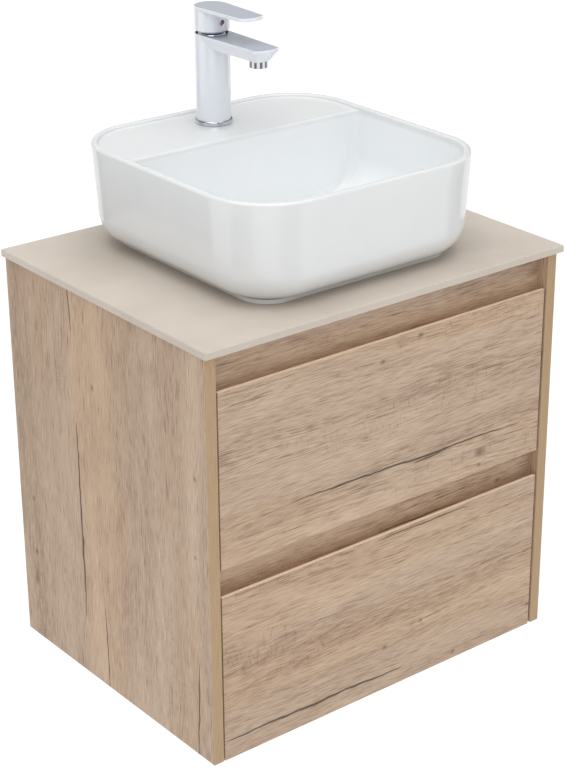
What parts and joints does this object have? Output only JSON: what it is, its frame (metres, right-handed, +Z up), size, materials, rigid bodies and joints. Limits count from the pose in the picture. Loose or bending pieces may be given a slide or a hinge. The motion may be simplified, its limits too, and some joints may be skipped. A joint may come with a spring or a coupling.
{
  "type": "vessel sink on vanity",
  "caption": "Wall-hung oak-look vanity with handleless drawers, thin slab top, rounded square vessel basin and single-lever tap.",
  "frame": {"origin": "centre of the footprint on the lowest edge of the lower drawer front, with X = 0 midway between the side panels", "axes": "+Z up, +Y towards the wall (the drawer fronts face -Y), +X to the right seen from the front"},
  "size_m": [0.61, 0.47, 0.902],
  "materials": {
    "oak_laminate": "light oak print with grain, satin",
    "oak_front": "light oak print with level grain, satin",
    "edge_strip": "plain oak-coloured edging, satin",
    "slab_stone": "plain warm beige, matte",
    "glazed_white": "white glaze, high gloss",
    "white_enamel": "white paint, high gloss",
    "chrome": "polished",
    "brass": "turned",
    "black_rubber": "plain",
    "zinc_steel": "zinc plated",
    "grey_board": "light grey melamine, satin",
    "white_plastic": "moulded",
    "grey_plastic": "moulded",
    "marker_paint": "one half red, the other blue, in a bright rim"
  },
  "bodies": {
    "cabinet": {"side_left": "oak_laminate", "side_right": "oak_laminate", "side_edge_strips": "edge_strip", "bottom_panel": "oak_laminate", "top_front_rail": "oak_front", "middle_rail": "oak_front", "back_top_rail": "oak_laminate", "back_low_rail": "oak_laminate", "countertop": "slab_stone", "slab_brackets": "zinc_steel", "carcass_screws": "zinc_steel", "hangers": "zinc_steel", "wall_plates": "zinc_steel", "upper_slide_outers": "zinc_steel", "lower_slide_outers": "zinc_steel", "basin": "glazed_white", "waste_body": "chrome", "waste_gasket": "black_rubber", "waste_nut": "brass", "trap_inlet_tube": "chrome", "trap_inlet_nut": "chrome", "trap_bottle": "chrome", "trap_neck_nut": "chrome", "trap_cup": "chrome", "trap_outlet_pipe": "chrome", "trap_outlet_nut": "chrome", "wall_rosette": "chrome", "tap_base_ring": "chrome", "tap_body": "white_enamel", "tap_aerator": "chrome", "aerator_insert": "grey_plastic", "tap_cartridge": "white_plastic", "cartridge_nut": "brass", "tap_shroud": "chrome", "shroud_seat_ring": "black_rubber", "tap_stud": "brass", "horseshoe_washer": "zinc_steel", "tap_nut": "brass", "tap_inlets": "brass"},
    "upper_drawer": {"upper_front": "oak_front", "upper_box_left": "grey_board", "upper_box_right": "grey_board", "upper_box_back": "grey_board", "upper_base": "grey_board", "trap_recess": "grey_plastic", "upper_slide_inners": "zinc_steel"},
    "upper_slides": {"upper_slide_mids": "zinc_steel"},
    "lower_drawer": {"lower_front": "oak_front", "lower_box_left": "grey_board", "lower_box_right": "grey_board", "lower_box_back": "grey_board", "lower_base": "grey_board", "lower_slide_inners": "zinc_steel"},
    "lower_slides": {"lower_slide_mids": "zinc_steel"},
    "plug": {"waste_plug": "chrome"},
    "turret": {"cartridge_turret": "grey_plastic", "tilt_pin": "zinc_steel"},
    "lever": {"tap_handle": "white_enamel", "tap_marker": "marker_paint", "lever_stem": "brass"}
  },
  "joints": [
    {"name": "upper_drawer_slide", "type": "slide", "parent": "cabinet", "child": "upper_drawer", "axis": [0, -1, 0], "range_m": [0, 0.38]},
    {"name": "upper_slides_run", "type": "slide", "parent": "cabinet", "child": "upper_slides", "axis": [0, -1, 0], "range_m": [0, 0.19]},
    {"name": "lower_drawer_slide", "type": "slide", "parent": "cabinet", "child": "lower_drawer", "axis": [0, -1, 0], "range_m": [0, 0.38]},
    {"name": "lower_slides_run", "type": "slide", "parent": "cabinet", "child": "lower_slides", "axis": [0, -1, 0], "range_m": [0, 0.19]},
    {"name": "plug_lift", "type": "slide", "parent": "cabinet", "child": "plug", "axis": [0, 0, 1], "range_m": [0, 0.008]},
    {"name": "lever_turn", "type": "hinge", "parent": "cabinet", "child": "turret", "pos_m": [0, 0.1565, 0.8525], "axis": [0, 0, 1], "range_deg": [-45, 45]},
    {"name": "lever_lift", "type": "hinge", "parent": "turret", "child": "lever", "pos_m": [0, 0.1565, 0.8525], "axis": [-1, 0, 0], "range_deg": [0, 16]}
  ],
  "couplings": [
    {"joint": "upper_slides_run", "follows": "upper_drawer_slide", "ratio": 0.5},
    {"joint": "lower_slides_run", "follows": "lower_drawer_slide", "ratio": 0.5}
  ]
}
